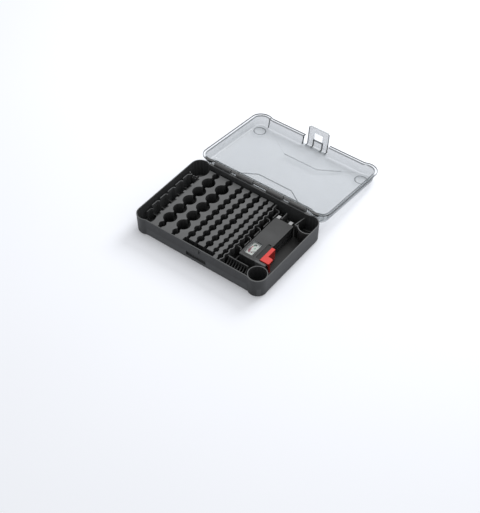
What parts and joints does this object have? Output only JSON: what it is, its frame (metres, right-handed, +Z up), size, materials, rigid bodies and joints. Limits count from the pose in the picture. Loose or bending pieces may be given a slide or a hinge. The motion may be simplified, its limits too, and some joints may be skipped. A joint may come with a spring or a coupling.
{
  "type": "battery organiser case",
  "caption": "Hinged battery organiser case with a clear snap-latch lid, a tray of wells for standard cells and a lift-out battery tester with a sliding arm.",
  "frame": {"origin": "centre of the base shell's underside", "axes": "+X along the long side towards the tester, +Y towards the hinges, +Z up; the lid rests folded right back"},
  "size_m": [0.3028, 0.4106, 0.0475],
  "materials": {
    "case_plastic": "fine matte moulded",
    "tray_plastic": "satin moulded",
    "clear_lid": "clear smoke grey",
    "tester_plastic": "satin moulded",
    "red_plastic": "semi gloss",
    "window_plastic": "clear",
    "dial_card": "printed card",
    "needle_black": "matte",
    "bracket_plastic": "matte",
    "magnet_iron": "plain",
    "coil_copper": "enamelled wire",
    "spring_bronze": "bright",
    "nickel_plate": "bright plated",
    "brass_strip": "bright",
    "screw_steel": "zinc plated",
    "resistor_body": "lacquered",
    "wire_red_cover": "soft sleeve",
    "wire_black_cover": "soft sleeve"
  },
  "bodies": {
    "base": {"base_shell": "case_plastic", "tray_floor": "tray_plastic", "well_strip_1": "tray_plastic", "well_strip_2": "tray_plastic", "well_strip_3": "tray_plastic", "well_strip_4": "tray_plastic", "well_strip_5": "tray_plastic", "well_strip_6": "tray_plastic", "well_strip_7": "tray_plastic", "scalloped_wall": "tray_plastic", "block_cell_leaves": "tray_plastic", "block_cell_dividers": "tray_plastic", "coin_column": "tray_plastic", "coin_comb": "tray_plastic", "rear_d_wall_left": "tray_plastic", "rear_d_wall_right": "tray_plastic"},
    "lid": {"lid_shell": "clear_lid"},
    "latch": {"lid_latch": "clear_lid"},
    "tester": {"tester_bottom_case": "tester_plastic", "tester_top_cover": "tester_plastic", "meter_window": "window_plastic", "housing_screws": "screw_steel", "meter_dial": "dial_card", "meter_bracket": "bracket_plastic", "meter_magnet": "magnet_iron", "block_contact_left": "nickel_plate", "block_contact_right": "nickel_plate", "fixed_contact": "nickel_plate", "contact_rail": "brass_strip", "load_resistors": "resistor_body", "wire_red": "wire_red_cover", "wire_black": "wire_black_cover"},
    "slider": {"slider_arm": "red_plastic", "slider_contact": "nickel_plate", "slider_wiper": "spring_bronze"},
    "needle": {"meter_needle": "needle_black", "meter_coil": "coil_copper", "meter_hairspring": "spring_bronze"}
  },
  "joints": [
    {"name": "lid_hinge", "type": "hinge", "parent": "base", "child": "lid", "pos_m": [0, 0.10185, 0.0442], "axis": [-1, 0, 0], "range_deg": [-186.52, 0]},
    {"name": "latch_flex", "type": "hinge", "parent": "lid", "child": "latch", "pos_m": [0, 0.29551, 0.00333], "axis": [-1, 0, 0], "range_deg": [-1.5, 8], "stiffness_Nm_per_rad": 0.3},
    {"name": "tester_lift", "type": "slide", "parent": "base", "child": "tester", "axis": [0, 0, 1], "range_m": [0, 0.08]},
    {"name": "slider_travel", "type": "slide", "parent": "tester", "child": "slider", "axis": [0, 1, 0], "range_m": [0, 0.062]},
    {"name": "needle_swing", "type": "hinge", "parent": "tester", "child": "needle", "pos_m": [0.091, -0.025, 0.0263], "axis": [0, 0, -1], "range_deg": [0, 70], "stiffness_Nm_per_rad": 0.0002}
  ]
}
